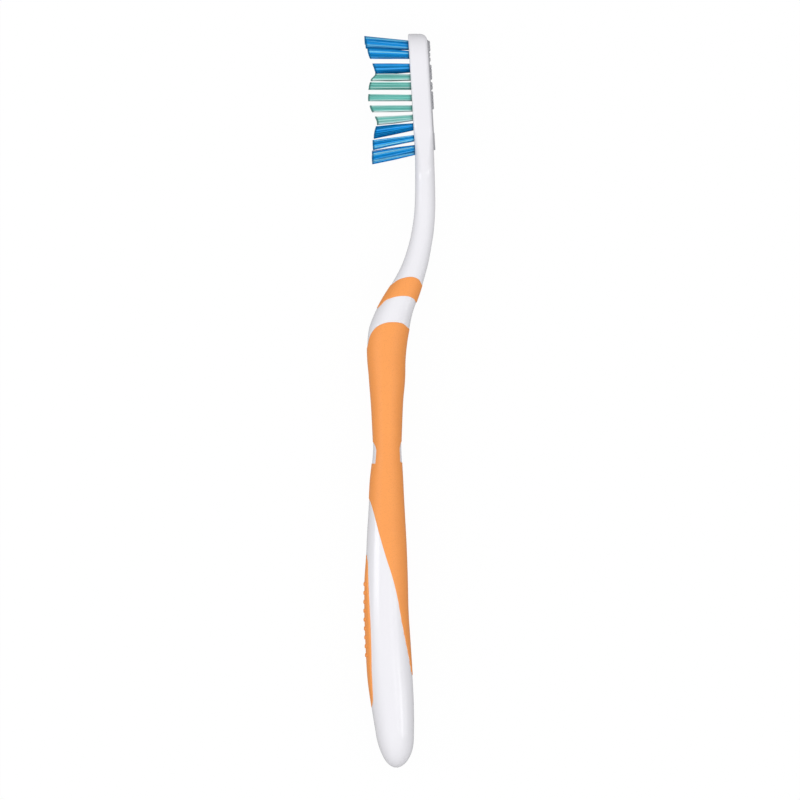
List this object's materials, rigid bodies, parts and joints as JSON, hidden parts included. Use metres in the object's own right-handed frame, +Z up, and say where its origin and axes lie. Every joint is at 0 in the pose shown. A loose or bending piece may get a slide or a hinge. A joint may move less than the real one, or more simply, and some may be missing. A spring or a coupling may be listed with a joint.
{
  "type": "manual toothbrush",
  "caption": "Manual toothbrush with an S-bent white handle, soft orange neck band, grip and front pad, nubbed tongue cleaner, and bristle tufts trimmed to a stepped outline.",
  "frame": {"origin": "middle of the footprint, on the ground, with the brush lying on its side", "axes": "+Y along the brush, from the handle's end to the head's tip; -X is the side that the bristles point to; +Z up, along the brush's width"},
  "size_m": [0.0188, 0.19, 0.0134],
  "materials": {
    "white_plastic": "glossy moulded polypropylene",
    "orange_rubber": "matte soft thermoplastic rubber, moulded over the handle",
    "grey_rubber": "matte soft thermoplastic rubber",
    "blue_filament": "blue nylon filament",
    "teal_filament": "teal nylon filament",
    "anchor_metal": "plain punched strip"
  },
  "bodies": {
    "root": {"handle_body": "white_plastic", "neck_band": "orange_rubber", "main_grip": "orange_rubber", "front_pad": "orange_rubber", "tongue_cleaner": "grey_rubber", "tuft_anchors": "anchor_metal", "tuft_row_01_no_1": "blue_filament", "tuft_row_01_no_2": "blue_filament", "tuft_row_01_no_3": "blue_filament", "tuft_row_02_no_1": "blue_filament", "tuft_row_02_no_2": "blue_filament", "tuft_row_02_no_3": "blue_filament", "tuft_row_02_no_4": "blue_filament", "tuft_row_03_no_1": "blue_filament", "tuft_row_03_no_2": "blue_filament", "tuft_row_03_no_3": "blue_filament", "tuft_row_03_no_4": "blue_filament", "tuft_row_04_no_1": "teal_filament", "tuft_row_04_no_2": "teal_filament", "tuft_row_04_no_3": "teal_filament", "tuft_row_04_no_4": "teal_filament", "tuft_row_05_no_1": "teal_filament", "tuft_row_05_no_2": "teal_filament", "tuft_row_05_no_3": "teal_filament", "tuft_row_05_no_4": "teal_filament", "tuft_row_06_no_1": "teal_filament", "tuft_row_06_no_2": "teal_filament", "tuft_row_06_no_3": "teal_filament", "tuft_row_06_no_4": "teal_filament", "tuft_row_07_no_1": "teal_filament", "tuft_row_07_no_2": "teal_filament", "tuft_row_07_no_3": "teal_filament", "tuft_row_07_no_4": "teal_filament", "tuft_row_08_no_1": "teal_filament", "tuft_row_08_no_2": "teal_filament", "tuft_row_08_no_3": "teal_filament", "tuft_row_08_no_4": "teal_filament", "tuft_row_09_no_1": "blue_filament", "tuft_row_09_no_2": "blue_filament", "tuft_row_09_no_3": "blue_filament", "tuft_row_09_no_4": "blue_filament", "tuft_row_10_no_1": "blue_filament", "tuft_row_10_no_2": "blue_filament", "tuft_row_10_no_3": "blue_filament", "tuft_row_10_no_4": "blue_filament", "tuft_row_11_no_1": "blue_filament", "tuft_row_11_no_2": "blue_filament", "tuft_row_11_no_3": "blue_filament"}
  },
  "joints": []
}
